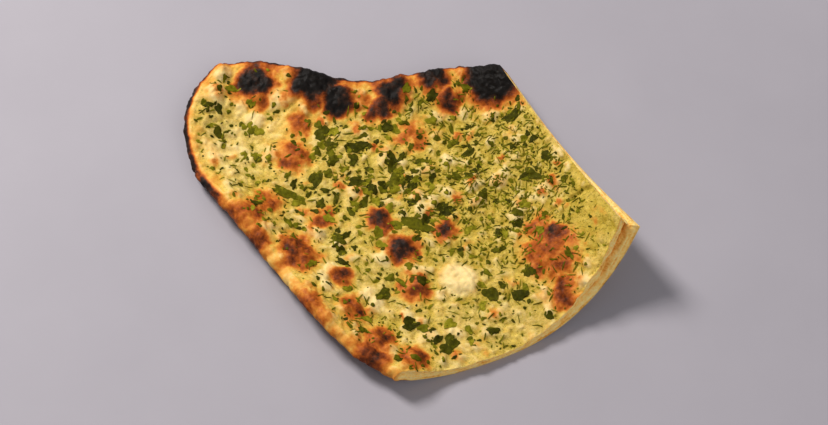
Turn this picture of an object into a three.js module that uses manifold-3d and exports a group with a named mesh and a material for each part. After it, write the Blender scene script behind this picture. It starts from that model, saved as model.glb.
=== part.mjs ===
// A quarter of a coriander naan, cut from a teardrop-shaped flatbread, as it lies on a flat surface.
// It has a rounded crust on its back and left sides, and two knife cuts meet in a square corner at the right.
// The cut corner and the left edge curl up. Chopped coriander leaf lies on the top, fused to the bread.
// Millimetres, +Z up. The origin is on the underside, in the middle of the part that rests on the surface.
// Shapes are worked out on the flat piece, whose points are (x, y) with a height, and bent at the very end.
import * as THREE from "three";
import { mergeVertices } from "three/addons/utils/BufferGeometryUtils.js";
import Module from "manifold-3d";

const wasm = await Module();
wasm.setup();

// The two knife cuts, from the corner where they meet. Headings are degrees from +X. Each cut bows by the given
// amount, outwards where that is positive.
const CORNER = new THREE.Vector2(78, -15);
const UPPER_CUT = { length: 80, heading: 123.5, bow: -2.5 };
const LOWER_CUT = { length: 98.5, heading: 209.5, bow: 8.5 };

// The crust's outline between the ends of the two cuts, counterclockwise: the back edge, the round end and the
// left edge.
const CRUST_POINTS = [
  [17, 52.3],
  [0, 49.5],
  [-16, 48.3],
  [-33, 51],
  [-49.5, 55.3],
  [-64, 51.8],
  [-72.6, 34],
  [-71, 16],
  [-63.2, 0.8],
  [-52.8, -13],
  [-42.5, -26.8],
  [-34.5, -41.5],
  [-22, -53.3],
];
const ROUND_END_POINT = 6;

// Thickness of the bread: thin in the middle, thicker along the crust, which ends in a round nose, and thickest
// at the cut corner. Near its ends the nose turns to follow the cuts, over this share of the crust's length.
const THICKNESS = 3.6;
const CRUST_SWELL = 2.4;
const CRUST_SWELL_REACH = 15;
const CRUST_NOSE = 2.6;
const CRUST_NOSE_TURN = 0.06;
const CRUST_UNDERCUT = 0.9;
const CRUST_UNDERCUT_REACH = 5;
const CORNER_PUFF = 3.4;
const CORNER_PUFF_REACH = 38;

// The two skins of the bread part at the cuts, and most of all at the corner. There the knife also slanted: the
// lower cut's top edge lies back from its bottom edge, and the top is drawn back with it over a narrow band of
// the patch.
const PARTING_DEPTH = 0.4;
const CORNER_PARTING_DEPTH = 1.8;
const CUT_SLANT = 3;
const CUT_SLANT_REACH = 65;
const CUT_SLANT_BAND = 0.08;

// The piece curls up beyond two straight lines. Each has the heading of its outward normal, its distance from
// the origin and the radius of the curl.
const CURLS = [
  { heading: 15, start: 20, radius: 57 },
  { heading: 223.8, start: 28, radius: 75 },
];

// The crust waves up from the surface along its length.
const WAVE_HEIGHT = 2.2;
const WAVE_LENGTH = 46;
const WAVE_REACH = 20;

// Blisters that the oven raised: centre x and y, radius and height.
const BLISTERS = [
  [31, 47.5, 12, 2.6],
  [9, 49.5, 8, 1.1],
  [-5, 43, 7, 1.4],
  [14, 39.5, 6, 1.2],
  [-30.5, 46, 9, 1.8],
  [-22, 40, 6.5, 1.4],
  [-50, 46, 8, 1.5],
  [1.5, 27.5, 7, 1],
  [-38, 19.5, 7.5, 1.5],
  [-35, 31, 5.5, 0.9],
  [-10, -4, 5.5, 1.5],
  [-3.5, -15, 6.5, 1.6],
  [11.5, -8, 4.8, 0.9],
  [-53, -6, 8, 1.2],
  [-51, -15, 6, 1],
  [-36, -18, 8.5, 1.4],
  [-23, -25, 4.5, 1],
  [1, -28.5, 6.5, 1.2],
  [-19.5, -39, 7, 1],
  [-12, -48.5, 7, 1.1],
  [-1, -55, 6, 1],
  [46.5, -17, 12.5, 2.2],
  [50, -31, 7, 1.2],
  [15, -26, 8, 1.3],
];

// The largest bits of chopped leaf: centre x and y, length, width, and the heading of the length.
const LARGE_LEAVES = [
  [2, -6, 15, 6, -25],
  [-40, 6, 12.5, 4.5, -28],
  [-4, 11, 11, 7, 62],
  [-17, 23, 10, 6, 12],
  [42, 11, 9, 4.5, -28],
  [11, -50, 10, 5.5, 42],
  [25, -31, 8.5, 5, -17],
  [34.5, -31.5, 8, 5.5, 23],
  [36, 33, 8.5, 5.5, 9],
  [-28, 28, 8, 6, 44],
  [-17, 10, 8, 5.5, 23],
  [-30, 11, 8, 5.5, 63],
  [12, -1, 8, 4.5, 11],
  [-1, -42, 8, 5.5, 22],
  [-23, -11, 8, 4.5, -34],
  [20, 21, 8, 3.5, 39],
  [-9, -31, 8, 4.5, 52],
];

// The smaller bits lie at random between them, and each next one is a little smaller.
const LEAF_SEED = 20417;
const LEAF_TRIES = 900;
const LEAF_COUNT = 100;
const LARGEST_LEAF = 6;
const SMALLEST_LEAF = 3.6;
const LEAF_SIDES = 6;
const LEAF_RISE = 0.6;
const LEAF_SINK = 0.8;
const LEAF_EDGE_GAP = 4.5;
const LEAF_SPACING = 0.6;

// Mesh fineness: cells from the left to the right, from the front to the back, and up the side.
const CELLS_ACROSS = 36;
const CELLS_DEEP = 32;
const CELLS_UP = 4;
const EDGE_SAMPLES = 180;

const breadMaterial = new THREE.MeshStandardMaterial({ color: 0xcfae62, roughness: 0.7, metalness: 0 });

const radians = THREE.MathUtils.degToRad;

function headingVector(degrees) {
  return new THREE.Vector2(Math.cos(radians(degrees)), Math.sin(radians(degrees)));
}

// A point along a cut, share 0 at the corner and 1 at the crust.
function cutPoint(cut, share, outwardTurn) {
  const along = headingVector(cut.heading).multiplyScalar(cut.length * share);
  const bow = cut.bow * Math.sin(Math.PI * share);
  return CORNER.clone().add(along).addScaledVector(headingVector(cut.heading + outwardTurn), bow);
}

const upperCut = (share) => cutPoint(UPPER_CUT, share, -90);
const lowerCut = (share) => cutPoint(LOWER_CUT, share, 90);
const lowerCutInward = headingVector(LOWER_CUT.heading - 90);

const crustKnots = [upperCut(1), ...CRUST_POINTS.map(([x, y]) => new THREE.Vector2(x, y)), lowerCut(1)];
const crust = new THREE.CatmullRomCurve3(
  crustKnots.map((knot) => new THREE.Vector3(knot.x, knot.y, 0)),
  false,
  "catmullrom",
);
const cutSamples = Array.from({ length: EDGE_SAMPLES }, (_, i) => i / (EDGE_SAMPLES - 1)).flatMap((share) => [
  upperCut(share),
  lowerCut(share),
]);

// The share of the crust's length, from the upper cut, at which the round end's middle lies.
const lengthsAlongCrust = crust.getLengths((crustKnots.length - 1) * 100);
const roundEndShare = lengthsAlongCrust[ROUND_END_POINT * 100] / lengthsAlongCrust.at(-1);

// The direction in which the crust's nose stands out: square to the crust, and along the cut at each end.
function crustOutward(share) {
  const place = THREE.MathUtils.clamp(share, 0, 1);
  const tangent = crust.getTangentAt(place);
  const upper = Math.max(0, 1 - place / CRUST_NOSE_TURN);
  const lower = Math.max(0, 1 - (1 - place) / CRUST_NOSE_TURN);
  return new THREE.Vector2(tangent.y, -tangent.x)
    .multiplyScalar(1 - upper - lower)
    .addScaledVector(headingVector(UPPER_CUT.heading), upper)
    .addScaledVector(headingVector(LOWER_CUT.heading), lower)
    .normalize();
}

// A point of the line where the top and the underside end and the nose begins, inside the crust's outline.
function crustPoint(share) {
  const point = crust.getPointAt(THREE.MathUtils.clamp(share, 0, 1));
  return new THREE.Vector2(point.x, point.y).addScaledVector(crustOutward(share), -CRUST_NOSE);
}

const crustSamples = Array.from({ length: EDGE_SAMPLES + 1 }, (_, i) => crustPoint(i / EDGE_SAMPLES));

const backShare = (across) => (1 - across) * roundEndShare;
const leftShare = (deep) => 1 - deep * (1 - roundEndShare);

// The flat piece as a four-sided patch: across runs 0 to 1 from the round end's side to the upper cut,
// and deep from the lower cut to the back crust.
function patchPoint(across, deep) {
  const front = lowerCut(1 - across);
  const back = crustPoint(backShare(across));
  const left = crustPoint(leftShare(deep));
  const right = upperCut(deep);
  const corners = [
    [lowerCut(1), (1 - across) * (1 - deep)],
    [CORNER, across * (1 - deep)],
    [crustPoint(roundEndShare), (1 - across) * deep],
    [upperCut(1), across * deep],
  ];
  const point = new THREE.Vector2()
    .addScaledVector(front, 1 - deep)
    .addScaledVector(back, deep)
    .addScaledVector(left, 1 - across)
    .addScaledVector(right, across);
  for (const [corner, weight] of corners) point.addScaledVector(corner, -weight);
  return point;
}

// How far a point lies from the nearest of some samples of an edge, and which sample that is.
function nearestSample(samples, x, y) {
  let nearest = { distance: Infinity, index: 0 };
  samples.forEach((sample, index) => {
    const distance = Math.hypot(x - sample.x, y - sample.y);
    if (distance < nearest.distance) nearest = { distance, index };
  });
  return nearest;
}

// A smooth mound, 1 in the middle and 0 from the reach outwards.
const mound = (distance, reach) => Math.max(0, 1 - (distance / reach) ** 2) ** 2;

// The uneven, hand-stretched dough.
function unevenness(x, y) {
  const broad = 0.45 * Math.sin(x / 9 + 1) * Math.sin(y / 8 + 2);
  const narrow = 0.25 * Math.sin(x / 4.1 + y / 5.3) * Math.sin(y / 3.7 - x / 6.1 + 1);
  return broad + narrow;
}

function blisterHeight(x, y) {
  let height = 0;
  for (const [centreX, centreY, radius, rise] of BLISTERS) {
    height += rise * mound(Math.hypot(x - centreX, y - centreY), radius);
  }
  return height;
}

function cornerNearness(x, y) {
  return mound(Math.hypot(x - CORNER.x, y - CORNER.y), CORNER_PUFF_REACH);
}

function cutSlant(x, y) {
  return CUT_SLANT * mound(Math.hypot(x - CORNER.x, y - CORNER.y), CUT_SLANT_REACH);
}

function waveLift({ distance, index }) {
  const along = (index / EDGE_SAMPLES) * crust.getLength();
  const wave = 0.5 - 0.5 * Math.cos((2 * Math.PI * along) / WAVE_LENGTH);
  return WAVE_HEIGHT * wave * mound(distance, WAVE_REACH);
}

function undersideHeight(x, y) {
  const edge = nearestSample(crustSamples, x, y);
  return waveLift(edge) + CRUST_UNDERCUT * mound(edge.distance, CRUST_UNDERCUT_REACH);
}

function topHeight(x, y) {
  const edge = nearestSample(crustSamples, x, y);
  const swell = CRUST_SWELL * mound(edge.distance, CRUST_SWELL_REACH);
  const puff = CORNER_PUFF * cornerNearness(x, y);
  return THICKNESS + swell + puff + unevenness(x, y) + blisterHeight(x, y) + waveLift(edge);
}

// Bends a point of the flat piece, at a height over the surface, to where it is on the curled piece.
function bend(x, y, height) {
  const point = new THREE.Vector3(x, y, height);
  for (const { heading, start, radius } of CURLS) {
    const outward = new THREE.Vector3(Math.cos(radians(heading)), Math.sin(radians(heading)), 0);
    const reach = point.dot(outward);
    if (reach <= start) continue;
    const angle = (reach - start) / radius;
    const inner = radius - point.z;
    point.addScaledVector(outward, start + inner * Math.sin(angle) - reach);
    point.z = radius - inner * Math.cos(angle);
  }
  return point;
}

// Sends each vertex of a geometry through a function of its position, once its corners are joined.
function mapVertices(geometry, place) {
  geometry.deleteAttribute("normal");
  geometry.deleteAttribute("uv");
  const joined = mergeVertices(geometry);
  const positions = joined.getAttribute("position");
  for (let i = 0; i < positions.count; i += 1) {
    const point = place(new THREE.Vector3().fromBufferAttribute(positions, i));
    positions.setXYZ(i, point.x, point.y, point.z);
  }
  return joined;
}

function toSolid(geometry) {
  const vertProperties = new Float32Array(geometry.getAttribute("position").array);
  const triVerts = new Uint32Array(geometry.index.array);
  return new wasm.Manifold(new wasm.Mesh({ numProp: 3, vertProperties, triVerts }));
}

function toGeometry(solid) {
  const { vertProperties, triVerts } = solid.getMesh();
  const geometry = new THREE.BufferGeometry();
  geometry.setAttribute("position", new THREE.BufferAttribute(new Float32Array(vertProperties), 3));
  geometry.setIndex(new THREE.BufferAttribute(new Uint32Array(triVerts), 1));
  geometry.computeVertexNormals();
  return geometry;
}

// How far a point of the side wall stands out from the edge of the patch, as a flat vector.
function sidePush(across, deep, up) {
  const onCrust = deep === 1 || across === 0;
  const middle = Math.sin(Math.PI * up);
  if (onCrust) {
    const share = deep === 1 ? backShare(across) : leftShare(deep);
    return crustOutward(share).multiplyScalar(CRUST_NOSE * middle);
  }
  const flat = patchPoint(across, deep);
  const depth = THREE.MathUtils.lerp(PARTING_DEPTH, CORNER_PARTING_DEPTH, cornerNearness(flat.x, flat.y));
  const inward = new THREE.Vector2();
  if (across === 1) inward.add(headingVector(UPPER_CUT.heading + 90));
  if (deep === 0) inward.add(lowerCutInward);
  return inward.normalize().multiplyScalar(depth * middle ** 4);
}

// The bread alone: a box of fine cells whose every vertex is sent to its place on the curled piece.
function makeBread() {
  const box = new THREE.BoxGeometry(1, 1, 1, CELLS_ACROSS, CELLS_DEEP, CELLS_UP).translate(0.5, 0.5, 0.5);
  return mapVertices(box, (corner) => {
    const [across, deep, up] = corner.toArray().map((value) => Math.round(value * 1e5) / 1e5);
    const flat = patchPoint(across, deep);
    const slant = cutSlant(flat.x, flat.y) * Math.max(0, 1 - deep / CUT_SLANT_BAND) ** 2;
    const onTop = flat.clone().addScaledVector(lowerCutInward, slant);
    const bottom = undersideHeight(flat.x, flat.y);
    const top = topHeight(onTop.x, onTop.y);
    const onCrust = deep === 1 || across === 0;
    const rise = onCrust ? 0.5 - 0.5 * Math.cos(Math.PI * up) : up;
    const height = THREE.MathUtils.lerp(bottom, top, rise);
    flat.lerp(onTop, up);
    if (up > 0 && up < 1) flat.add(sidePush(across, deep, up));
    return bend(flat.x, flat.y, height);
  });
}

// Repeatable random numbers from 0 to 1.
function randomNumbers(seed) {
  let state = seed;
  return () => {
    state = (Math.imul(state, 1664525) + 1013904223) >>> 0;
    return state / 2 ** 32;
  };
}

// The bits of leaf: the large ones, then small ones clear of the edges, the blisters and the bits before them.
function chooseLeaves() {
  const random = randomNumbers(LEAF_SEED);
  const chosen = LARGE_LEAVES.map(([x, y, length, width, heading], i) => {
    return { x, y, length, width, turn: radians(heading), shape: i / LARGE_LEAVES.length };
  });
  for (let i = 0; i < LEAF_TRIES && chosen.length < LEAF_COUNT; i += 1) {
    const [across, deep, turn, stretch, shape] = Array.from({ length: 5 }, random);
    const { x, y } = patchPoint(across, deep);
    const length = THREE.MathUtils.lerp(LARGEST_LEAF, SMALLEST_LEAF, chosen.length / LEAF_COUNT);
    const edge = nearestSample([...crustSamples, ...cutSamples], x, y).distance;
    const reach = 0.3 * length;
    const onBlister = BLISTERS.some(([bx, by, radius]) => Math.hypot(x - bx, y - by) < 0.6 * radius + reach);
    const crowded = chosen.some((leaf) => {
      return Math.hypot(x - leaf.x, y - leaf.y) < (length + leaf.length) * LEAF_SPACING;
    });
    if (edge - cutSlant(x, y) < LEAF_EDGE_GAP || onBlister || crowded) continue;
    chosen.push({ x, y, length, width: length * (0.45 + 0.35 * stretch), turn: 2 * Math.PI * turn, shape });
  }
  return chosen;
}

// One bit of leaf: a thin plate with an irregular outline that follows the bread's top and sinks a little in.
function makeLeaf({ x, y, length, width, turn, shape }) {
  const plate = new THREE.CylinderGeometry(1, 1, 2, LEAF_SIDES, 1).rotateX(Math.PI / 2);
  return mapVertices(plate, (corner) => {
    const around = Math.atan2(corner.y, corner.x);
    const rim = Math.hypot(corner.x, corner.y) * (0.82 + 0.18 * Math.sin(3 * around + 2 * Math.PI * shape));
    const along = 0.5 * length * rim * Math.cos(around);
    const beside = 0.5 * width * rim * Math.sin(around);
    const flatX = x + along * Math.cos(turn) - beside * Math.sin(turn);
    const flatY = y + along * Math.sin(turn) + beside * Math.cos(turn);
    const height = topHeight(flatX, flatY) + (corner.z > 0 ? LEAF_RISE : -LEAF_SINK);
    return bend(flatX, flatY, height);
  });
}

const pieces = [makeBread(), ...chooseLeaves().map(makeLeaf)].map(toSolid);
const naan = new THREE.Mesh(toGeometry(wasm.Manifold.union(pieces)), breadMaterial);
naan.name = "naan";

const part = new THREE.Group();
part.add(naan);

export default part;
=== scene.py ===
# A quarter of a coriander naan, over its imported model. The shape is worked out on the flat piece, in
# millimetres, from the same named values as the model's, with finer relief on it. It is bent, and scaled to
# metres, at the very end.
import math
import random
from collections import namedtuple

import bpy
import numpy as np
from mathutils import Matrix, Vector


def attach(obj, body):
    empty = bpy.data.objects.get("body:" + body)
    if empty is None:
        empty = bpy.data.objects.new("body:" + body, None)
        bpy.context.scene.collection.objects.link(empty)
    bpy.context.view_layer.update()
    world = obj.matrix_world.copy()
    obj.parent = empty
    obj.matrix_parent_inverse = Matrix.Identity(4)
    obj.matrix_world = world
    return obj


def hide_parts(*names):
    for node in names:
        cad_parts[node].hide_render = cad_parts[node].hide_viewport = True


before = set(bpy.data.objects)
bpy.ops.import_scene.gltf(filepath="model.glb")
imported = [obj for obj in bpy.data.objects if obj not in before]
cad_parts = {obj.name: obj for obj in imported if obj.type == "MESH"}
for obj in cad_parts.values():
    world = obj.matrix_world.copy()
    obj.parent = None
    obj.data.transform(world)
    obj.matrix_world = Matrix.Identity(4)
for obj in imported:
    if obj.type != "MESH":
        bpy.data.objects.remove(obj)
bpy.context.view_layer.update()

# The two knife cuts and the crust between them, as in the model.
CORNER = np.array([78.0, -15.0])
UPPER_CUT = {"length": 80.0, "heading": 123.5, "bow": -2.5}
LOWER_CUT = {"length": 98.5, "heading": 209.5, "bow": 8.5}
CRUST_POINTS = [
    (17, 52.3),
    (0, 49.5),
    (-16, 48.3),
    (-33, 51),
    (-49.5, 55.3),
    (-64, 51.8),
    (-72.6, 34),
    (-71, 16),
    (-63.2, 0.8),
    (-52.8, -13),
    (-42.5, -26.8),
    (-34.5, -41.5),
    (-22, -53.3),
]
ROUND_END_POINT = 6

# Thickness, curls and waves, as in the model.
THICKNESS = 3.6
CRUST_SWELL = 2.4
CRUST_SWELL_REACH = 15
CRUST_NOSE = 2.6
CRUST_NOSE_TURN = 0.06
CRUST_UNDERCUT = 0.9
CRUST_UNDERCUT_REACH = 5
CORNER_PUFF = 3.4
CORNER_PUFF_REACH = 38
CUT_SLANT = 3
CUT_SLANT_REACH = 65
CUT_SLANT_BAND = 0.08
CURLS = [(15, 20, 57), (223.8, 28, 75)]
WAVE_HEIGHT = 2.2
WAVE_LENGTH = 46
WAVE_REACH = 20

# Blisters: centre x and y, radius, height, and how far they are baked, from 0 for dough to 1 for char.
# The model has all of them but the seven that rise by 0.8 mm or less.
BLISTERS = [
    (31, 47.5, 12, 2.6, 1.08),
    (9, 49.5, 8, 1.1, 0.92),
    (-5, 43, 7, 1.4, 0.9),
    (-9, 37, 5, 0.7, 0.8),
    (14, 39.5, 6, 1.2, 0.74),
    (-30.5, 46, 9, 1.8, 1.05),
    (-22, 40, 6.5, 1.4, 0.95),
    (-50, 46, 8, 1.5, 0.95),
    (1.5, 27.5, 7, 1.0, 0.5),
    (-38, 19.5, 7.5, 1.5, 0.54),
    (-35, 31, 5.5, 0.9, 0.48),
    (-10, -4, 5.5, 1.5, 0.84),
    (-3.5, -15, 6.5, 1.6, 0.84),
    (11.5, -8, 4.8, 0.9, 0.7),
    (-28.5, -4, 5, 0.6, 0.6),
    (-53, -6, 8, 1.2, 0.5),
    (-46, 2, 7, 0.8, 0.6),
    (-51, -15, 6, 1.0, 0.72),
    (-36, -18, 8.5, 1.4, 0.67),
    (-23, -25, 4.5, 1.0, 0.62),
    (1, -28.5, 6.5, 1.2, 0.54),
    (-19.5, -39, 7, 1.0, 0.58),
    (-12, -48.5, 7, 1.1, 0.62),
    (-16, -57, 7, 0.8, 0.7),
    (-1, -55, 6, 1.0, 0.6),
    (46.5, -17, 12.5, 2.2, 0.57),
    (49, -11, 5, 0.4, 0.74),
    (50, -31, 7, 1.2, 0.66),
    (43, -8, 7, 0.5, 0.5),
    (-35, -39, 6, 0.8, 0.6),
    (15, -26, 8, 1.3, 0.05),
]

# A shallow crease at the foot of the corner, from the upper cut inwards.
CREASE_START = (71, 1)
CREASE_HEADING = 188
CREASE_LENGTH = 36
CREASE_DEPTH = 0.9
CREASE_HALF_WIDTH = 0.9

# The top is smooth and bare between the crease and the corner: centre x and y, and reach.
SMOOTH_CORNER = (67, -9, 21)

# The blister that stayed pale and bare: centre x and y, and radius.
PALE_BLISTER = (15, -26, 7.5)

# The largest bits of leaf, as in the model: centre x and y, length, width, and the heading of the length.
LARGE_LEAVES = [
    (2, -6, 15, 6, -25),
    (-40, 6, 12.5, 4.5, -28),
    (-4, 11, 11, 7, 62),
    (-17, 23, 10, 6, 12),
    (42, 11, 9, 4.5, -28),
    (11, -50, 10, 5.5, 42),
    (25, -31, 8.5, 5, -17),
    (34.5, -31.5, 8, 5.5, 23),
    (36, 33, 8.5, 5.5, 9),
    (-28, 28, 8, 6, 44),
    (-17, 10, 8, 5.5, 23),
    (-30, 11, 8, 5.5, 63),
    (12, -1, 8, 4.5, 11),
    (-1, -42, 8, 5.5, 22),
    (-23, -11, 8, 4.5, -34),
    (20, 21, 8, 3.5, 39),
    (-9, -31, 8, 4.5, 52),
]

# What is strewn between them: how many bits, the shortest and the longest, and how far they keep from the
# edges. Bits longer than LARGE_BIT are thinner than the others. Headings are drawn up to ANY_TURN radians.
Strewn = namedtuple("Strewn", "count shortest longest edge_gap")
CHOPPED_LEAF = Strewn(190, 2.8, 6.0, 2.5)
FINE_LEAF = Strewn(520, 1.3, 3.0, 1.2)
LEAF_SPECKS = Strewn(1300, 0.6, 2.0, 0.8)
LEAF_SHREDS = Strewn(620, 1.8, 5.0, 2.0)
LEAF_SEED = 23
TRIES_AT_ONCE = 400
LARGE_BIT = 2.5
LARGE_BIT_THICKNESS = 0.22
SMALL_BIT_THICKNESS = 0.35
ANY_TURN = 6.28

# The fine relief: small bubbles, wide and narrow puckers with a grain on them, and how far it all is lowered
# so that it lies about the model's top. Char has crags of its own.
BUBBLE_COUNT = 340
BUBBLE_SEED = 11
WIDE_PUCKERS = 0.8
NARROW_PUCKERS = 0.5
GRAIN = 0.18
RELIEF_MEAN = 0.55
CHAR_CRAGS = 0.25

# Bumps along the crust's nose, wide and narrow, and how far they are lowered.
WIDE_NOSE_BUMPS = 0.9
NARROW_NOSE_BUMPS = 0.5
NOSE_BUMPS_MEAN = 0.45

# Depths on the cut faces: of the parting of the two skins, anywhere and at the corner besides, and of pores,
# crumbs and layers. Where the cuts meet, the directions into the bread turn from one to the other over
# CUTS_MEET.
PARTING = 0.35
CORNER_PARTING = 1.9
PARTING_HALF_WIDTH = 0.13
PORE_DEPTH = 0.5
CRUMB_DEPTH = 0.3
LAYER_DEPTH = 0.45
CUTS_MEET = 6

# Baking is full at the heart of a blister and fades out at its halo, both in radii. Small bubbles bake less.
# The crust's rim is baked as far in as its reach.
BLISTER_HEART = 0.3
BLISTER_HALO = 1.48
BUBBLE_BAKING = 0.56
RIM_REACH = 7
UNDERSIDE_RIM_BAKING = 0.95

# Edges sharper than these, in degrees, are not shaded smooth.
BREAD_SHARP_ANGLE = 48
LEAF_SHARP_ANGLE = 60

# Fineness of the bread's mesh and of the samples along its edges.
CELLS_ACROSS = 330
CELLS_DEEP = 276
CELLS_UP = 24
EDGE_SAMPLES = 700
CUT_SAMPLE_COUNT = 200
STEPS_BETWEEN_KNOTS = 100
TANGENT_REACH = 0.004
NEAREST_BLOCK = 4000
NOISE_CELLS = 128

MM = 0.001


def srgb(red, green, blue):
    """A linear colour from an sRGB one of 0 to 255."""
    parts = [channel / 255 for channel in (red, green, blue)]
    return tuple(c / 12.92 if c <= 0.04045 else ((c + 0.055) / 1.055) ** 2.4 for c in parts) + (1.0,)


def heading_vector(degrees):
    return np.array([math.cos(math.radians(degrees)), math.sin(math.radians(degrees))])


# The flat outline


def cut_point(cut, share, outward_turn):
    """Points along a cut, at shares from 0 at the corner to 1 at the crust."""
    share = np.asarray(share, float)[..., None]
    along = heading_vector(cut["heading"]) * cut["length"] * share
    outward = heading_vector(cut["heading"] + outward_turn) * cut["bow"] * np.sin(np.pi * share)
    return CORNER + along + outward


def upper_cut(share):
    return cut_point(UPPER_CUT, share, -90)


def lower_cut(share):
    return cut_point(LOWER_CUT, share, 90)


def catmull_rom(knots, place):
    """Points of a smooth curve through the knots, at places from 0 to 1."""
    ends = np.vstack([2 * knots[0] - knots[1], knots, 2 * knots[-1] - knots[-2]])
    place = np.clip(place, 0, 1) * (len(knots) - 1)
    i = np.minimum(place.astype(int), len(knots) - 2)
    w = (place - i)[..., None]
    before, start, end, after = (ends[i + k] for k in range(4))
    leave = (end - before) / 2
    arrive = (after - start) / 2
    return (
        start
        + leave * w
        + (3 * (end - start) - 2 * leave - arrive) * w**2
        + (2 * (start - end) + leave + arrive) * w**3
    )


CRUST_KNOTS = np.vstack([upper_cut(1), CRUST_POINTS, lower_cut(1)])
CRUST_PLACES = np.linspace(0, 1, (len(CRUST_KNOTS) - 1) * STEPS_BETWEEN_KNOTS + 1)
CRUST_STEPS = np.diff(catmull_rom(CRUST_KNOTS, CRUST_PLACES), axis=0)
CRUST_LENGTHS = np.concatenate([[0], np.cumsum(np.hypot(*CRUST_STEPS.T))])
ROUND_END_SHARE = CRUST_LENGTHS[ROUND_END_POINT * STEPS_BETWEEN_KNOTS] / CRUST_LENGTHS[-1]


def crust_outline(share):
    """Points along the crust's outermost line, at shares of its length from the upper cut."""
    place = np.interp(np.asarray(share) * CRUST_LENGTHS[-1], CRUST_LENGTHS, CRUST_PLACES)
    return catmull_rom(CRUST_KNOTS, place)


def crust_outward(share):
    """The directions in which the crust's nose stands out: square to it, and along the cut at each end."""
    before = crust_outline(np.maximum(share - TANGENT_REACH, 0))
    step = crust_outline(np.minimum(share + TANGENT_REACH, 1)) - before
    square = np.stack([step[..., 1], -step[..., 0]], axis=-1)
    square /= np.linalg.norm(square, axis=-1, keepdims=True)
    upper = np.maximum(0, 1 - np.asarray(share) / CRUST_NOSE_TURN)[..., None]
    lower = np.maximum(0, 1 - (1 - np.asarray(share)) / CRUST_NOSE_TURN)[..., None]
    outward = square * (1 - upper - lower)
    outward += upper * heading_vector(UPPER_CUT["heading"]) + lower * heading_vector(LOWER_CUT["heading"])
    return outward / np.linalg.norm(outward, axis=-1, keepdims=True)


def crust_point(share):
    """Points of the line where the top and the underside end and the nose begins, inside the outline."""
    return crust_outline(share) - CRUST_NOSE * crust_outward(share)


def back_share(across):
    return (1 - across) * ROUND_END_SHARE


def left_share(deep):
    return 1 - deep * (1 - ROUND_END_SHARE)


def patch_point(across, deep):
    """Points of the flat piece. Across runs from the left crust to the upper cut, and deep from the
    lower cut to the back."""
    a = np.asarray(across, float)[..., None]
    d = np.asarray(deep, float)[..., None]
    edges = (
        lower_cut(1 - a[..., 0]) * (1 - d)
        + crust_point(back_share(a[..., 0])) * d
        + crust_point(left_share(d[..., 0])) * (1 - a)
        + upper_cut(d[..., 0]) * a
    )
    corners = (
        lower_cut(1) * (1 - a) * (1 - d)
        + CORNER * a * (1 - d)
        + crust_point(ROUND_END_SHARE) * (1 - a) * d
        + upper_cut(1) * a * d
    )
    return edges - corners


CRUST_SAMPLES = crust_point(np.linspace(0, 1, EDGE_SAMPLES + 1))
LOWER_CUT_INWARD = heading_vector(LOWER_CUT["heading"] - 90)
UPPER_CUT_INWARD = heading_vector(UPPER_CUT["heading"] + 90)
CUT_SHARES = np.linspace(0, 1, CUT_SAMPLE_COUNT)
CUT_SAMPLES = np.vstack([upper_cut(CUT_SHARES), lower_cut(CUT_SHARES)])


def nearest_sample(samples, x, y):
    """Distance to the nearest sample, and its index."""
    flat = np.stack([np.ravel(x), np.ravel(y)], axis=-1)
    distance = np.empty(len(flat))
    index = np.empty(len(flat), int)
    for start in range(0, len(flat), NEAREST_BLOCK):
        block = slice(start, start + NEAREST_BLOCK)
        squares = ((flat[block, None, :] - samples[None, :, :]) ** 2).sum(-1)
        index[block] = squares.argmin(1)
        distance[block] = np.sqrt(squares.min(1))
    return distance.reshape(np.shape(x)), index.reshape(np.shape(x))


# Relief


def mound(distance, reach):
    """A smooth mound, 1 in the middle and 0 from the reach outwards."""
    return np.maximum(0, 1 - (distance / reach) ** 2) ** 2


def smooth_step(low, high, value):
    share = np.clip((value - low) / (high - low), 0, 1)
    return share * share * (3 - 2 * share)


def noise(x, y, size, seed):
    """Smooth noise from about -1 to 1, with bumps of about the given size."""
    turns = np.random.default_rng(seed).uniform(0, 2 * np.pi, (NOISE_CELLS, NOISE_CELLS))
    gx = np.asarray(x) / size
    gy = np.asarray(y) / size
    ix = np.floor(gx).astype(int)
    iy = np.floor(gy).astype(int)
    fx = gx - ix
    fy = gy - iy
    u = fx**3 * (fx * (fx * 6 - 15) + 10)
    v = fy**3 * (fy * (fy * 6 - 15) + 10)

    def lattice(dx, dy):
        turn = turns[(ix + dx) % NOISE_CELLS, (iy + dy) % NOISE_CELLS]
        return np.cos(turn) * (fx - dx) + np.sin(turn) * (fy - dy)

    near = lattice(0, 0) * (1 - u) + lattice(1, 0) * u
    far = lattice(0, 1) * (1 - u) + lattice(1, 1) * u
    return 1.6 * (near * (1 - v) + far * v)


def unevenness(x, y):
    broad = 0.45 * np.sin(x / 9 + 1) * np.sin(y / 8 + 2)
    narrow = 0.25 * np.sin(x / 4.1 + y / 5.3) * np.sin(y / 3.7 - x / 6.1 + 1)
    return broad + narrow


def mounds_height(mounds, x, y):
    """How high the mounds of blisters or bubbles raise the top."""
    height = np.zeros(np.shape(x))
    for centre_x, centre_y, radius, rise, _ in mounds:
        height += rise * mound(np.hypot(x - centre_x, y - centre_y), radius)
    return height


def small_bubbles():
    """The many small bubbles between the blisters: centre x and y, radius, height and baking."""
    draw = random.Random(BUBBLE_SEED)
    bubbles = []
    while len(bubbles) < BUBBLE_COUNT:
        x, y = patch_point(draw.random(), draw.random())
        radius = draw.uniform(1.5, 4.5)
        bubbles.append((x, y, radius, 0.25 * radius * draw.uniform(0.4, 1.2), draw.random()))
    return bubbles


BUBBLES = small_bubbles()


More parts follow.
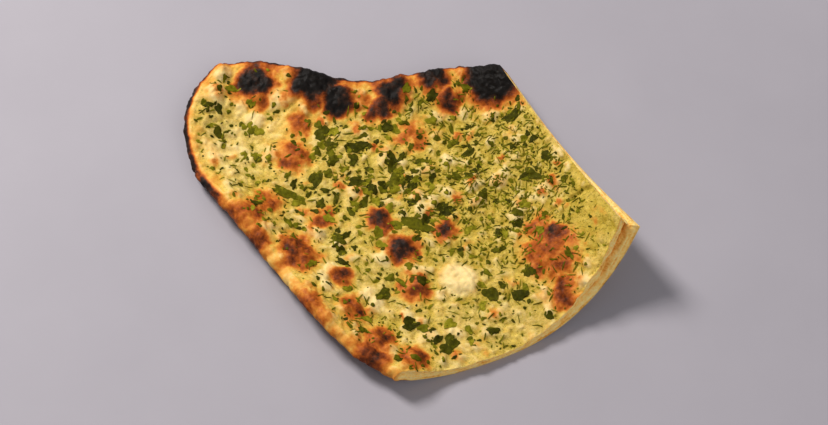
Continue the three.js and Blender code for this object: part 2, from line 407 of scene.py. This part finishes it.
def crease(x, y):
    """A shallow fold from the upper cut into the top, at the foot of the corner: 1 along its bottom."""
    start_x, start_y = CREASE_START
    along_x, along_y = heading_vector(CREASE_HEADING)
    along = (x - start_x) * along_x + (y - start_y) * along_y
    beside = (y - start_y) * along_x - (x - start_x) * along_y + 1.2 * np.sin(along / 6)
    ends = smooth_step(0, 5, along) * smooth_step(CREASE_LENGTH, CREASE_LENGTH - 12, along)
    return ends * np.exp(-((beside / CREASE_HALF_WIDTH) ** 2))


def smooth_corner(x, y):
    """1 where the top is smooth and bare, between the crease and the corner, and 0 elsewhere."""
    centre_x, centre_y, reach = SMOOTH_CORNER
    return mound(np.hypot(x - centre_x, y - centre_y), reach)


def pale_blister(x, y):
    """1 on the one blister that stayed pale and bare, and 0 beyond it."""
    centre_x, centre_y, radius = PALE_BLISTER
    return smooth_step(1.1, 0.5, np.hypot(x - centre_x, y - centre_y) / radius)


def relief(x, y):
    """The fine relief that the model leaves out: small bubbles, puckers between them, and the crease."""
    puckers = WIDE_PUCKERS * np.abs(noise(x, y, 5.2, 1)) + NARROW_PUCKERS * np.abs(noise(x, y, 2.6, 2))
    puckers += GRAIN * noise(x, y, 1.3, 3)
    bumps = (puckers + mounds_height(BUBBLES, x, y)) * (1 - 0.6 * smooth_corner(x, y))
    return bumps - RELIEF_MEAN - CREASE_DEPTH * crease(x, y)


def corner_nearness(x, y):
    return mound(np.hypot(x - CORNER[0], y - CORNER[1]), CORNER_PUFF_REACH)


def cut_slant(x, y):
    """How far the lower cut's top edge lies back from its bottom edge: most at the corner."""
    return CUT_SLANT * mound(np.hypot(x - CORNER[0], y - CORNER[1]), CUT_SLANT_REACH)


def wave_lift(distance, index):
    along = index / EDGE_SAMPLES * CRUST_LENGTHS[-1]
    return WAVE_HEIGHT * mound(distance, WAVE_REACH) * (0.5 - 0.5 * np.cos(2 * np.pi * along / WAVE_LENGTH))


def underside_height(x, y):
    distance, index = nearest_sample(CRUST_SAMPLES, x, y)
    return wave_lift(distance, index) + CRUST_UNDERCUT * mound(distance, CRUST_UNDERCUT_REACH)


def top_height(x, y):
    """The top's height over the surface, with the fine relief that the model leaves out."""
    distance, index = nearest_sample(CRUST_SAMPLES, x, y)
    swell = CRUST_SWELL * mound(distance, CRUST_SWELL_REACH)
    puff = CORNER_PUFF * corner_nearness(x, y)
    blisters = mounds_height(BLISTERS, x, y)
    whole = THICKNESS + swell + puff + unevenness(x, y) + blisters + wave_lift(distance, index)
    char = smooth_step(0.75, 1, baking(x, y))
    crags = CHAR_CRAGS * char * (noise(x, y, 1.5, 4) - 0.6 * np.abs(noise(x, y, 2.9, 5)))
    return whole + relief(x, y) + crags


def edge_baking(share):
    """How far the crust's outermost line is baked: nearly to char round the back and the end, then golden."""
    golden = smooth_step(0.6, 0.74, share)
    along = share * CRUST_LENGTHS[-1]
    return 0.8 - 0.48 * golden + 0.14 * noise(along, 0 * along, 7, 15)


def baking(x, y):
    """How far the top is baked, from 0 for pale dough to 1 for char."""
    warp_x = x + 1.9 * noise(x, y, 5.5, 6) + 0.6 * noise(x, y, 2.2, 7)
    warp_y = y + 1.9 * noise(x, y, 5.5, 8) + 0.6 * noise(x, y, 2.2, 9)
    mottle = 0.28 * noise(x, y, 4.2, 21)
    baked = np.zeros(np.shape(x))
    for centre_x, centre_y, radius, _, tone in BLISTERS:
        distance = np.hypot(warp_x - centre_x, warp_y - centre_y) / radius
        mottled_tone = tone * (1 + mottle * smooth_step(0.8, 0.6, tone))
        baked = np.maximum(baked, mottled_tone * smooth_step(BLISTER_HALO, BLISTER_HEART, distance))
    for centre_x, centre_y, radius, _, tone in BUBBLES:
        distance = np.hypot(warp_x - centre_x, warp_y - centre_y) / radius
        baked = np.maximum(baked, BUBBLE_BAKING * tone**2 * smooth_step(1.1, 0.1, distance))
    baked *= 1 - pale_blister(x, y)
    distance, index = nearest_sample(CRUST_SAMPLES, x, y)
    share = index / EDGE_SAMPLES
    back = smooth_step(0.42, 0.34, share)
    left = smooth_step(0.55, 0.7, share)
    rim = 0.2 + 0.18 * back + 0.02 * left + 0.2 * noise(x, y, 6, 10)
    return np.maximum(baked, rim * mound(distance, RIM_REACH + 2 * left))


def bend(x, y, height):
    """Bends points of the flat piece, at heights over the surface, to where they are on the curled piece."""
    point = np.stack([x, y, height], axis=-1).astype(float)
    for heading, start, radius in CURLS:
        outward = np.array([*heading_vector(heading), 0])
        reach = point @ outward
        angle = np.maximum(0, reach - start) / radius
        inner = radius - point[..., 2]
        shift = np.where(reach > start, start + inner * np.sin(angle) - reach, 0)
        point[..., 2] = np.where(reach > start, radius - inner * np.cos(angle), point[..., 2])
        point += shift[..., None] * outward
    return point


# Meshes


def make_mesh(name, points, faces):
    """A mesh object from points in millimetres and faces that all have the same number of corners."""
    mesh = bpy.data.meshes.new(name)
    faces = np.asarray(faces)
    corners = faces.shape[1]
    mesh.vertices.add(len(points))
    mesh.vertices.foreach_set("co", (np.asarray(points) * MM).ravel())
    mesh.loops.add(faces.size)
    mesh.loops.foreach_set("vertex_index", faces.ravel())
    mesh.polygons.add(len(faces))
    mesh.polygons.foreach_set("loop_start", np.arange(0, faces.size, corners))
    mesh.polygons.foreach_set("use_smooth", np.full(len(faces), True))
    mesh.update(calc_edges=True)
    mesh.validate()
    piece = bpy.data.objects.new(name, mesh)
    bpy.context.collection.objects.link(piece)
    return piece


def add_attribute(piece, name, values):
    layer = piece.data.attributes.new(name, "FLOAT", "POINT")
    layer.data.foreach_set("value", np.asarray(values, float))


def grid_faces(index):
    """The quads of a grid of vertex indices."""
    return np.stack([index[:-1, :-1], index[1:, :-1], index[1:, 1:], index[:-1, 1:]], axis=-1).reshape(-1, 4)


def ring_positions():
    """The grid places round the piece's edge, counterclockwise from the end of the lower cut."""
    bottom = [(i, 0) for i in range(CELLS_ACROSS)]
    right = [(CELLS_ACROSS, j) for j in range(CELLS_DEEP)]
    top = [(i, CELLS_DEEP) for i in range(CELLS_ACROSS, 0, -1)]
    left = [(0, j) for j in range(CELLS_DEEP, 0, -1)]
    return np.array(bottom + right + top + left)


class Side:
    """The bread's side all round: the crust's nose and the two cut faces. Heights up it are shares, from 0 at
    the underside to 1 at the top."""

    def __init__(self, ring):
        across = ring[:, 0] / CELLS_ACROSS
        deep = ring[:, 1] / CELLS_DEEP
        on_upper_cut = ring[:, 0] == CELLS_ACROSS
        on_lower_cut = ring[:, 1] == 0
        on_back = ring[:, 1] == CELLS_DEEP
        self.on_crust = on_back | (ring[:, 0] == 0)
        self.share = np.where(on_back, back_share(across), left_share(deep))
        self.outward = crust_outward(self.share)
        self.flat = patch_point(across, deep)
        x, y = self.flat.T
        self.lean = np.outer(np.where(on_lower_cut, cut_slant(x, y), 0), LOWER_CUT_INWARD)
        from_corner = np.hypot(x - CORNER[0], y - CORNER[1])
        self.along = np.where(self.on_crust, self.share * CRUST_LENGTHS[-1], from_corner)
        self.nearness = corner_nearness(x, y)
        turned = np.maximum(0, 1 - from_corner / CUTS_MEET)
        self.inward = np.outer(np.where(on_upper_cut, 1, turned), UPPER_CUT_INWARD)
        self.inward += np.outer(np.where(on_lower_cut, 1, turned), LOWER_CUT_INWARD)
        top_x, top_y = (self.flat + self.lean).T
        self.bottom = underside_height(x, y)
        self.top = top_height(top_x, top_y)
        self.top_baking = baking(top_x, top_y)

    def nose(self, up, height):
        """How far the crust stands out, bumps and all, as flat vectors."""
        wide = WIDE_NOSE_BUMPS * np.abs(noise(self.along, height * 1.6, 5, 19))
        narrow = NARROW_NOSE_BUMPS * np.abs(noise(self.along, height * 1.6, 2.4, 20))
        bumps = wide + narrow - NOSE_BUMPS_MEAN
        return self.outward * ((CRUST_NOSE + bumps) * math.sin(math.pi * up))[:, None]

    def crust_baking(self, up, height):
        """How far the crust is baked: as its top where they meet, and in its own tone below."""
        baked = edge_baking(self.share) + 0.12 * noise(self.along, height, 4, 18)
        baked = np.maximum(baked, self.top_baking)
        baked = self.top_baking + (baked - self.top_baking) * smooth_step(0.94, 0.7, up)
        return baked * (1 - 0.12 * smooth_step(0.45, 0, up))

    def cut_layers(self, height):
        """The long fine layers of the crumb."""
        return np.abs(noise(0.14 * self.along, height, 1, 22))

    def cut_depth(self, up, height):
        """How deep the cut faces are hollowed: where the two skins part, and by layers, pores and crumbs."""
        middle = 0.5 + 0.16 * noise(self.along, 0 * self.along, 9, 12)
        parting = PARTING + CORNER_PARTING * self.nearness
        parting = parting * np.exp(-(((up - middle) / PARTING_HALF_WIDTH) ** 2))
        pores = PORE_DEPTH * np.maximum(0, noise(self.along, height * 1.7, 1.7, 13) - 0.1)
        crumbs = CRUMB_DEPTH * np.abs(noise(self.along, height * 1.5, 0.9, 14))
        hollows = parting + pores + crumbs + LAYER_DEPTH * self.cut_layers(height)
        return hollows * math.sin(math.pi * up) ** 0.5

    def cut_tone_and_shade(self, up, height, depth):
        """How golden the cut faces are: more at the two skins and along the layers, and darker in their
        hollows as painted shade.
        """
        skins = 0.35 * math.exp(-((up / 0.1) ** 2)) + 0.25 * math.exp(-(((1 - up) / 0.08) ** 2))
        # The depth term darkens the hollows as painted shade; the skins and layers are the crumb's own tone.
        return 0.22 * depth + 0.5 * self.cut_layers(height) + skins - 0.1

    def row(self, up):
        """The points all round at one height, and how far they are baked, with painted shade in the hollows
        of the cut faces.
        """
        height = up * (THICKNESS + CORNER_PUFF * self.nearness)
        depth = self.cut_depth(up, height)
        push = np.where(self.on_crust[:, None], self.nose(up, height), self.inward * depth[:, None])
        flat = self.flat + self.lean * up + push
        rise = np.where(self.on_crust, 0.5 - 0.5 * math.cos(math.pi * up), up)
        points = bend(*flat.T, self.bottom * (1 - rise) + self.top * rise)
        baked = np.where(self.on_crust, self.crust_baking(up, height), self.cut_tone_and_shade(up, height, depth))
        return points, baked


def bread_faces(index, ring):
    """Quads of the top, the underside and the side, whose vertices come in that order."""
    count = index.size
    top_ring = index[ring[:, 0], ring[:, 1]]
    between = [2 * count + row * len(ring) + np.arange(len(ring)) for row in range(CELLS_UP - 1)]
    rows = [count + top_ring, *between, top_ring]
    faces = [grid_faces(index), (grid_faces(index) + count)[:, ::-1]]
    for low, high in zip(rows[:-1], rows[1:]):
        faces.append(np.stack([low, np.roll(low, -1), np.roll(high, -1), high], axis=-1))
    return np.vstack(faces)


def make_bread():
    """The bread as a closed mesh: a fine grid for its top, one for its underside, and rows up its side."""
    shares_across = np.linspace(0, 1, CELLS_ACROSS + 1)
    shares_deep = np.linspace(0, 1, CELLS_DEEP + 1)
    across, deep = np.meshgrid(shares_across, shares_deep, indexing="ij")
    x, y = np.moveaxis(patch_point(across, deep), -1, 0)
    under_points = bend(x, y, underside_height(x, y))
    toasted = UNDERSIDE_RIM_BAKING * mound(nearest_sample(CRUST_SAMPLES, x, y)[0], RIM_REACH)
    lean = cut_slant(x, y) * np.maximum(0, 1 - deep / CUT_SLANT_BAND) ** 2
    top_x = x + lean * LOWER_CUT_INWARD[0]
    top_y = y + lean * LOWER_CUT_INWARD[1]
    top_points = bend(top_x, top_y, top_height(top_x, top_y))
    ring = ring_positions()
    side = Side(ring)
    side_rows = [side.row(step / CELLS_UP) for step in range(1, CELLS_UP)]
    points = [top_points.reshape(-1, 3), under_points.reshape(-1, 3), *(row for row, _ in side_rows)]
    piece = make_mesh("bread", np.vstack(points), bread_faces(np.arange(x.size).reshape(x.shape), ring))
    side_baked = np.concatenate([baked for _, baked in side_rows])
    side_crumb = np.tile(~side.on_crust, len(side_rows))
    add_baking(piece, top_x, top_y, toasted, side_baked, side_crumb)
    add_topping(piece, top_x, top_y)
    piece.data.set_sharp_from_angle(angle=math.radians(BREAD_SHARP_ANGLE))
    return piece


def add_baking(piece, x, y, toasted, side_baked, side_crumb):
    """Tells the material how far each vertex is baked, with painted shade in the cut faces' hollows, and
    which are cut crumb or underside.
    """
    none = np.zeros(x.size)
    every = np.ones(x.size)
    add_attribute(piece, "baked", np.concatenate([baking(x, y).ravel(), toasted.ravel(), side_baked]))
    add_attribute(piece, "crumb", np.concatenate([none, none, side_crumb]))
    add_attribute(piece, "under", np.concatenate([none, every, np.zeros(len(side_baked))]))


def add_topping(piece, x, y):
    """Tells the material where the top is buttered, raised (paler, with a painted highlight) and stained by
    herb, and where painted shade lies along the crease.
    """
    raised = np.clip(relief(x, y) + 0.15, 0, 1) * (1 - smooth_corner(x, y))
    raised = np.maximum(raised, pale_blister(x, y))
    elsewhere = np.zeros(len(piece.data.vertices) - x.size)
    for name, values in (("butter", butter(x, y)), ("raised", raised), ("herb", herb_stain_and_crease_shade(x, y))):
        add_attribute(piece, name, np.concatenate([values.ravel(), elsewhere]))


def butter(x, y):
    """Where butter and herb have soaked in: in the hollows, most in the middle and at the right."""
    soaked = 0.5 + 0.4 * mound(np.hypot(x - 25, y - 10), 60) - 0.3 * mound(np.hypot(x + 62, y - 30), 32)
    soaked += 0.35 * mound(np.hypot(x - 62, y + 8), 34) - 0.5 * pale_blister(x, y)
    return np.clip(soaked + 0.3 * noise(x, y, 9, 16) - 0.55 * (relief(x, y) - 0.1), 0, 1)


# Chopped leaf


LeafBit = namedtuple("LeafBit", "x y length width turn rings sides tone")


def leaf_outline(draw, turns):
    """The outline's radius round a torn bit of leaf, about 1 at most."""
    radius = np.full(len(turns), 0.72)
    for waves, most in ((2, 0.1), (3, 0.16), (5, 0.12), (7, 0.07)):
        radius += draw.uniform(0.3, 1) * most * np.cos(waves * turns + draw.uniform(0, ANY_TURN))
    return radius


def leaf_surface(draw, bit):
    """A bit's points in the flat piece, from its middle outwards, and how far they lift off the top."""
    turns = np.linspace(0, 2 * math.pi, bit.sides, endpoint=False)
    radius = leaf_outline(draw, turns)
    shares = np.repeat(np.linspace(0, 1, bit.rings + 1)[1:], bit.sides)
    along = np.concatenate([[0], 0.5 * bit.length * shares * np.tile(radius * np.cos(turns), bit.rings)])
    beside = np.concatenate([[0], 0.5 * bit.width * shares * np.tile(radius * np.sin(turns), bit.rings)])
    flat_x = bit.x + along * math.cos(bit.turn) - beside * math.sin(bit.turn)
    flat_y = bit.y + along * math.sin(bit.turn) + beside * math.cos(bit.turn)
    edge = np.concatenate([[0], shares])
    fold = draw.uniform(-0.5, 0.8) * (beside / bit.width) ** 2 * 4
    curl = draw.uniform(0, 0.9) * np.maximum(0, along / bit.length) ** 2 * 4
    lift = 0.28 + 0.035 * bit.length * np.clip(fold + curl, -0.6, 2) - 0.12 * edge
    return flat_x, flat_y, lift


def fan_faces(rings, sides, start):
    """Triangles of a disc of rings round a centre vertex."""

    def corner(ring, side):
        return start + 1 + ring * sides + side % sides

    faces = [(start, corner(0, side), corner(0, side + 1)) for side in range(sides)]
    for ring in range(rings - 1):
        for side in range(sides):
            outer = corner(ring + 1, side + 1)
            faces.append((corner(ring, side), corner(ring + 1, side), outer))
            faces.append((corner(ring, side), outer, corner(ring, side + 1)))
    return faces


def leaf_faces(rings, sides, start):
    """Triangles of a bit's upper face, its lower face and the rim between them."""
    count = rings * sides + 1
    faces = fan_faces(rings, sides, start)
    faces.extend((c, b, a) for a, b, c in fan_faces(rings, sides, start + count))
    rim = start + count - sides
    for side in range(sides):
        here = rim + side
        beyond = rim + (side + 1) % sides
        faces.append((here, here + count, beyond + count))
        faces.append((here, beyond + count, beyond))
    return faces


def leaf_density(x, y):
    """How thickly the leaf is strewn, from 0 to 1: most just left of the middle."""
    return 0.3 + 0.65 * mound(math.hypot((x + 12) / 1.25, y - 8), 36)


def shred_density(x, y):
    """How thickly the fine shreds are strewn, from 0 to 1: most at the right."""
    return 0.2 + 0.8 * mound(math.hypot(x - 32, y - 12), 46)


def scatter_places(draw, strewn, density):
    """Random places on the top, clear of char and of the edges, more where the leaf is strewn thickly."""
    places = []
    while len(places) < strewn.count:
        shares = np.array([(draw.random(), draw.random()) for _ in range(TRIES_AT_ONCE)])
        chances = [draw.random() for _ in range(TRIES_AT_ONCE)]
        tries = patch_point(*shares.T)
        crust_distance = nearest_sample(CRUST_SAMPLES, *tries.T)[0]
        cut_distance = nearest_sample(CUT_SAMPLES, *tries.T)[0]
        charred = 0.97 * smooth_step(0.35, 0.75, baking(*tries.T))
        for (x, y), chance, crust, cut, char in zip(tries, chances, crust_distance, cut_distance, charred):
            clear = min(crust, cut - cut_slant(x, y)) > strewn.edge_gap
            bare = max(char, 0.8 * smooth_corner(x, y), pale_blister(x, y))
            if clear and chance < density(x, y) * (1 - bare):
                places.append((x, y))
    return places[: strewn.count]


def leaf_bits():
    """Every bit of leaf, the largest first. Its tone runs from 0, dark, to 1, pale."""
    draw = random.Random(LEAF_SEED)
    bits = [
        LeafBit(x, y, length, width, math.radians(turn), 4, 20, draw.uniform(0, 0.5))
        for x, y, length, width, turn in LARGE_LEAVES
    ]
    for strewn, rings, sides in ((CHOPPED_LEAF, 3, 18), (FINE_LEAF, 2, 11)):
        for x, y in scatter_places(draw, strewn, leaf_density):
            length = draw.uniform(strewn.shortest, strewn.longest)
            width = length * draw.uniform(0.4, 0.85)
            turn = draw.uniform(0, ANY_TURN)
            bits.append(LeafBit(x, y, length, width, turn, rings, sides, draw.random()))
    for x, y in scatter_places(draw, LEAF_SPECKS, shred_density):
        length = draw.uniform(LEAF_SPECKS.shortest, LEAF_SPECKS.longest)
        width = draw.uniform(0.35, 0.9)
        turn = draw.uniform(0, ANY_TURN)
        bits.append(LeafBit(x, y, length, width, turn, 1, 7, draw.uniform(0.3, 1)))
    for x, y in scatter_places(draw, LEAF_SHREDS, shred_density):
        length = draw.uniform(LEAF_SHREDS.shortest, LEAF_SHREDS.longest)
        width = draw.uniform(0.35, 0.8)
        turn = draw.gauss(0.3, 0.9)
        bits.append(LeafBit(x, y, length, width, turn, 2, 8, draw.uniform(0.4, 1)))
    return bits


LEAF_BITS = leaf_bits()


def herb_stain_and_crease_shade(x, y):
    """How far the dough round the leaf and on the bare corner is stained, and how far the crease's bottom is
    painted with shade, from 0 to 1.
    """
    # Along the crease's bottom this is painted shade, not herb.
    stain_and_crease_shade = np.maximum(0.65 * smooth_corner(x, y), 0.9 * crease(x, y))
    for bit in LEAF_BITS:
        if bit.length > 1.4:
            stain_and_crease_shade = np.maximum(stain_and_crease_shade, mound(np.hypot(x - bit.x, y - bit.y), 0.5 * bit.length + 1.2))
    return stain_and_crease_shade


def make_leaves():
    """The chopped leaf as one mesh: thin solids that follow the top, with some of their edges lifted."""
    draw = random.Random(LEAF_SEED + 1)
    parts = []
    faces = []
    tones = []
    start = 0
    for bit in LEAF_BITS:
        flat_x, flat_y, lift = leaf_surface(draw, bit)
        thickness = LARGE_BIT_THICKNESS if bit.length > LARGE_BIT else SMALL_BIT_THICKNESS
        parts.append((flat_x, flat_y, lift))
        parts.append((flat_x, flat_y, lift - thickness))
        faces.extend(leaf_faces(bit.rings, bit.sides, start))
        tones.append(np.full(2 * len(flat_x), bit.tone))
        start += 2 * len(flat_x)
    flat_x, flat_y, lift = (np.concatenate(column) for column in zip(*parts))
    points = bend(flat_x, flat_y, top_height(flat_x, flat_y) + lift)
    piece = make_mesh("coriander", points, faces)
    add_attribute(piece, "tone", np.concatenate(tones))
    piece.data.set_sharp_from_angle(angle=math.radians(LEAF_SHARP_ANGLE))
    return piece


# Materials


class Graph:
    """The node tree of a new material. add() makes a node and links or sets its inputs by name."""

    def __init__(self, name):
        self.material = bpy.data.materials.new(name)
        self.material.use_nodes = True
        self.tree = self.material.node_tree
        self.tree.nodes.clear()

    def add(self, kind, inputs=None, **settings):
        node = self.tree.nodes.new("ShaderNode" + kind)
        for name, value in settings.items():
            setattr(node, name, value)
        for name, value in (inputs or {}).items():
            self.put(node.inputs[name], value)
        return node

    def put(self, socket, value):
        if isinstance(value, bpy.types.NodeSocket):
            self.tree.links.new(value, socket)
        else:
            socket.default_value = value

    def attribute(self, name):
        return self.add("Attribute", attribute_name=name).outputs["Fac"]

    def math(self, operation, first, second, clamp=False):
        node = self.add("Math", operation=operation, use_clamp=clamp)
        self.put(node.inputs[0], first)
        self.put(node.inputs[1], second)
        return node.outputs[0]

    def mix(self, factor, first, second):
        node = self.add("Mix", data_type="RGBA")
        self.put(node.inputs[0], factor)
        self.put(node.inputs[6], first)
        self.put(node.inputs[7], second)
        return node.outputs[2]

    def noise(self, size_mm, detail=3.0, roughness=0.55, distortion=0.0, stretch=(1, 1, 1)):
        """Noise from 0 to 1 with features of about the given size."""
        place = self.add("TexCoord").outputs["Object"]
        scaled = self.add("Mapping", {"Vector": place, "Scale": tuple(1000 * s / size_mm for s in stretch)})
        node = self.add(
            "TexNoise",
            {
                "Vector": scaled.outputs[0],
                "Scale": 1.0,
                "Detail": detail,
                "Roughness": roughness,
                "Distortion": distortion,
            },
        )
        return node.outputs[0]

    def ramp(self, factor, stops):
        """A colour that follows a value through the stops, which are positions and sRGB colours."""
        node = self.add("ValToRGB", {"Fac": factor})
        elements = node.color_ramp.elements
        while len(elements) < len(stops):
            elements.new(0.5)
        for element, (position, colour) in zip(elements, stops):
            element.position = position
            element.color = srgb(*colour)
        return node.outputs[0]

    def range(self, value, low, high, out_low=0.0, out_high=1.0):
        """A value brought from one range to another, and kept within it."""
        node = self.add("MapRange", {"Value": value, "From Min": low, "From Max": high})
        node.inputs["To Min"].default_value = out_low
        node.inputs["To Max"].default_value = out_high
        return node.outputs[0]

    def finish(self, inputs):
        shader = self.add("BsdfPrincipled", inputs)
        output = self.add("OutputMaterial")
        self.tree.links.new(shader.outputs[0], output.inputs[0])
        return self.material


# Tones by their places on a scale: the crust from pale dough to char, the cut faces from crest to hollow,
# with painted shade at the hollow end, the underside from floury to toasted, and the leaf from dark to pale.
CRUST_TONES = [
    (0.0, (240, 211, 142)),
    (0.15, (234, 194, 114)),
    (0.3, (228, 168, 76)),
    (0.45, (208, 128, 46)),
    (0.6, (174, 88, 26)),
    (0.74, (114, 50, 16)),
    (0.86, (48, 28, 18)),
    (1.0, (18, 14, 12)),
]
CUT_TONES = [
    (0.05, (255, 226, 150)),
    (0.35, (255, 204, 110)),
    (0.65, (226, 154, 60)),
    (1.0, (164, 98, 32)),
]
UNDERSIDE_TONES = [
    (0.0, (226, 202, 150)),
    (0.7, (160, 100, 44)),
    (1.0, (84, 46, 22)),
]
LEAF_TONES = [
    (0.0, (40, 40, 4)),
    (0.3, (66, 64, 6)),
    (0.6, (96, 92, 10)),
    (0.85, (128, 120, 22)),
    (1.0, (156, 144, 40)),
]
BUTTER_YELLOW = srgb(222, 190, 82)
BUTTER_OLIVE = srgb(180, 150, 40)
HERB_STAIN_AND_CREASE_SHADE = srgb(150, 132, 26)
HERB_SPECK = srgb(104, 90, 8)
PALE_CREST_AND_HIGHLIGHT = srgb(246, 220, 158)
FLOOR_GREYS = (srgb(156, 151, 160), srgb(168, 163, 172))


def top_colour(graph, baked, blotch, grain):
    """Baked dough: yellow where butter soaked in, greenish where herb stained it and, as painted shade, along
    the crease, and paler on crests, partly as a painted highlight.
    """
    # The herb attribute also holds painted shade along the crease's bottom.
    soaked = graph.attribute("butter")
    herb = graph.attribute("herb")
    raised = graph.attribute("raised")
    patches = graph.noise(9.0, detail=3)

    # Baking breaks up at its edges, and freckles the dough between the blisters.
    broken = graph.math("ADD", baked, graph.range(blotch, 0.25, 0.75, -0.09, 0.15))
    broken = graph.math("ADD", broken, graph.range(patches, 0.35, 0.7, -0.04, 0.14))
    broken = graph.math("ADD", broken, graph.range(grain, 0.3, 0.7, -0.05, 0.06))
    crust = graph.ramp(broken, CRUST_TONES)

    # Only pale dough takes the colours of butter and herb, and the crease's painted shade.
    pale = graph.range(broken, 0.2, 0.5, 1.0, 0.0)
    yellow = graph.mix(graph.range(blotch, 0.35, 0.65), BUTTER_YELLOW, BUTTER_OLIVE)
    soaked_pale = graph.math("MULTIPLY", soaked, pale)
    top = graph.mix(graph.math("MULTIPLY", soaked_pale, 0.9), crust, yellow)
    stain_and_crease_shade = graph.math("MULTIPLY", herb, pale)
    stain_and_crease_shade = graph.math("MULTIPLY", stain_and_crease_shade, graph.range(grain, 0.35, 0.65, 0.25, 0.8))
    top = graph.mix(stain_and_crease_shade, top, HERB_STAIN_AND_CREASE_SHADE)
    specks = graph.range(graph.noise(0.8, detail=2, distortion=1.2, stretch=(1, 1.6, 1)), 0.54, 0.64)
    specks = graph.math("MULTIPLY", specks, soaked_pale)
    top = graph.mix(graph.math("MULTIPLY", specks, 0.7), top, HERB_SPECK)
    # Crests go paler: partly the dough's own tone, partly a painted highlight.
    crest_and_highlight = graph.math("MULTIPLY", graph.range(raised, 0.25, 0.9), graph.range(grain, 0.3, 0.6, 0.2, 0.7))
    return graph.mix(graph.math("MULTIPLY", crest_and_highlight, pale), top, PALE_CREST_AND_HIGHLIGHT)


def cut_colour(graph, baked):
    """Cream crumb, darker golden in its hollows, where that is painted shade."""
    pores = graph.noise(0.8, detail=4, stretch=(1, 1, 1.6))
    hollow = graph.math("ADD", baked, graph.range(pores, 0.35, 0.7, 0.0, 0.32))
    return graph.ramp(hollow, CUT_TONES)


def underside_colour(graph, baked):
    """Floury and pale, with toasted freckles."""
    toasted = graph.range(graph.noise(7.0, detail=5, roughness=0.6), 0.5, 0.72)
    return graph.ramp(graph.math("ADD", toasted, baked, clamp=True), UNDERSIDE_TONES)


def bread_material():
    graph = Graph("baked_dough")
    baked = graph.attribute("baked")
    blotch = graph.noise(3.2, detail=4)
    grain = graph.noise(0.9, detail=3, roughness=0.6)
    top = top_colour(graph, baked, blotch, grain)
    surface = graph.mix(graph.attribute("crumb"), top, cut_colour(graph, baked))
    surface = graph.mix(graph.attribute("under"), surface, underside_colour(graph, baked))
    gloss = graph.range(graph.noise(5.0, detail=3), 0.3, 0.7, 0.45, 0.7)
    bump_height = graph.math("ADD", graph.math("MULTIPLY", grain, 0.6), graph.noise(0.35, detail=2))
    bump = graph.add("Bump", {"Strength": 0.55, "Distance": 0.22 * MM, "Height": bump_height})
    return graph.finish(
        {
            "Base Color": surface,
            "Roughness": gloss,
            "Subsurface Weight": 0.12,
            "Subsurface Radius": (1.2 * MM, 0.7 * MM, 0.3 * MM),
            "Subsurface Scale": 1.0,
            "Specular IOR Level": 0.12,
            "Normal": bump.outputs[0],
        }
    )


def leaf_material():
    graph = Graph("chopped_coriander")
    tone = graph.attribute("tone")
    veins = graph.noise(1.1, detail=3)
    mixed = graph.math("ADD", graph.math("MULTIPLY", tone, 0.8), graph.range(veins, 0.3, 0.7, -0.05, 0.25))
    bump = graph.add("Bump", {"Strength": 0.5, "Distance": 0.15 * MM, "Height": veins})
    return graph.finish(
        {
            "Base Color": graph.ramp(mixed, LEAF_TONES),
            "Roughness": 0.7,
            "Specular IOR Level": 0.05,
            "Subsurface Weight": 0.1,
            "Subsurface Radius": (0.3 * MM, 0.6 * MM, 0.1 * MM),
            "Subsurface Scale": 1.0,
            "Normal": bump.outputs[0],
        }
    )


def floor_material():
    graph = Graph("pale_floor")
    colour = graph.mix(graph.noise(60.0, detail=5), *FLOOR_GREYS)
    return graph.finish({"Base Color": colour, "Roughness": 0.7})


# The object's pieces

bread = make_bread()
bread.data.materials.append(bread_material())
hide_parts("naan")
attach(bread, "root")

leaves = make_leaves()
leaves.data.materials.append(leaf_material())
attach(leaves, "root")

# The floor, the light and the camera

FLOOR_REACH = 3000
floor_corners = [(x * FLOOR_REACH, y * FLOOR_REACH, 0) for x, y in ((-1, -1), (1, -1), (1, 1), (-1, 1))]
floor = make_mesh("floor", floor_corners, [(0, 1, 2, 3)])
floor.data.materials.append(floor_material())

LIGHT_COLOUR = (1.0, 0.97, 0.92)
SKY_COLOUR = (0.95, 0.97, 1.0, 1)
SKY_STRENGTH = 0.26


def add_light(name, place, size, power):
    """A square soft light at a place in metres, turned towards the origin."""
    data = bpy.data.lights.new(name, "AREA")
    data.size = size
    data.energy = power
    data.color = LIGHT_COLOUR
    light = bpy.data.objects.new(name, data)
    light.location = place
    light.rotation_euler = (-Vector(place)).to_track_quat("-Z", "Y").to_euler()
    bpy.context.collection.objects.link(light)


add_light("key", (-0.55, 0.5, 0.75), size=0.28, power=13)
add_light("fill", (0.6, -0.7, 0.9), size=1.0, power=4.2)

world = bpy.data.worlds.new("studio")
world.use_nodes = True
sky = world.node_tree.nodes["Background"]
sky.inputs["Color"].default_value = SKY_COLOUR
sky.inputs["Strength"].default_value = SKY_STRENGTH
bpy.context.scene.world = world
bpy.context.scene.view_settings.view_transform = "Standard"

# The camera stands where the photograph's did, in metres, turned to the piece, and its lens is long enough to
# fill the frame.
PHOTO_CENTRE = Vector((-0.050, 0.011, 0))
PHOTO_ELEVATION = math.radians(60)
PHOTO_DISTANCE = 0.897
CAMERA_AIM = Vector((0.001, -0.005, 0.010))
CAMERA_LENS = 120
camera_data = bpy.data.cameras.new("camera")
camera_data.lens = CAMERA_LENS
camera_data.clip_start = 0.01
camera = bpy.data.objects.new("camera", camera_data)
away = Vector((0, -math.cos(PHOTO_ELEVATION), math.sin(PHOTO_ELEVATION)))
camera.location = PHOTO_CENTRE + away * PHOTO_DISTANCE
turn = (-away).rotation_difference(CAMERA_AIM - camera.location)
camera.rotation_euler = (turn @ (-away).to_track_quat("-Z", "Y")).to_euler()
bpy.context.collection.objects.link(camera)
bpy.context.scene.camera = camera
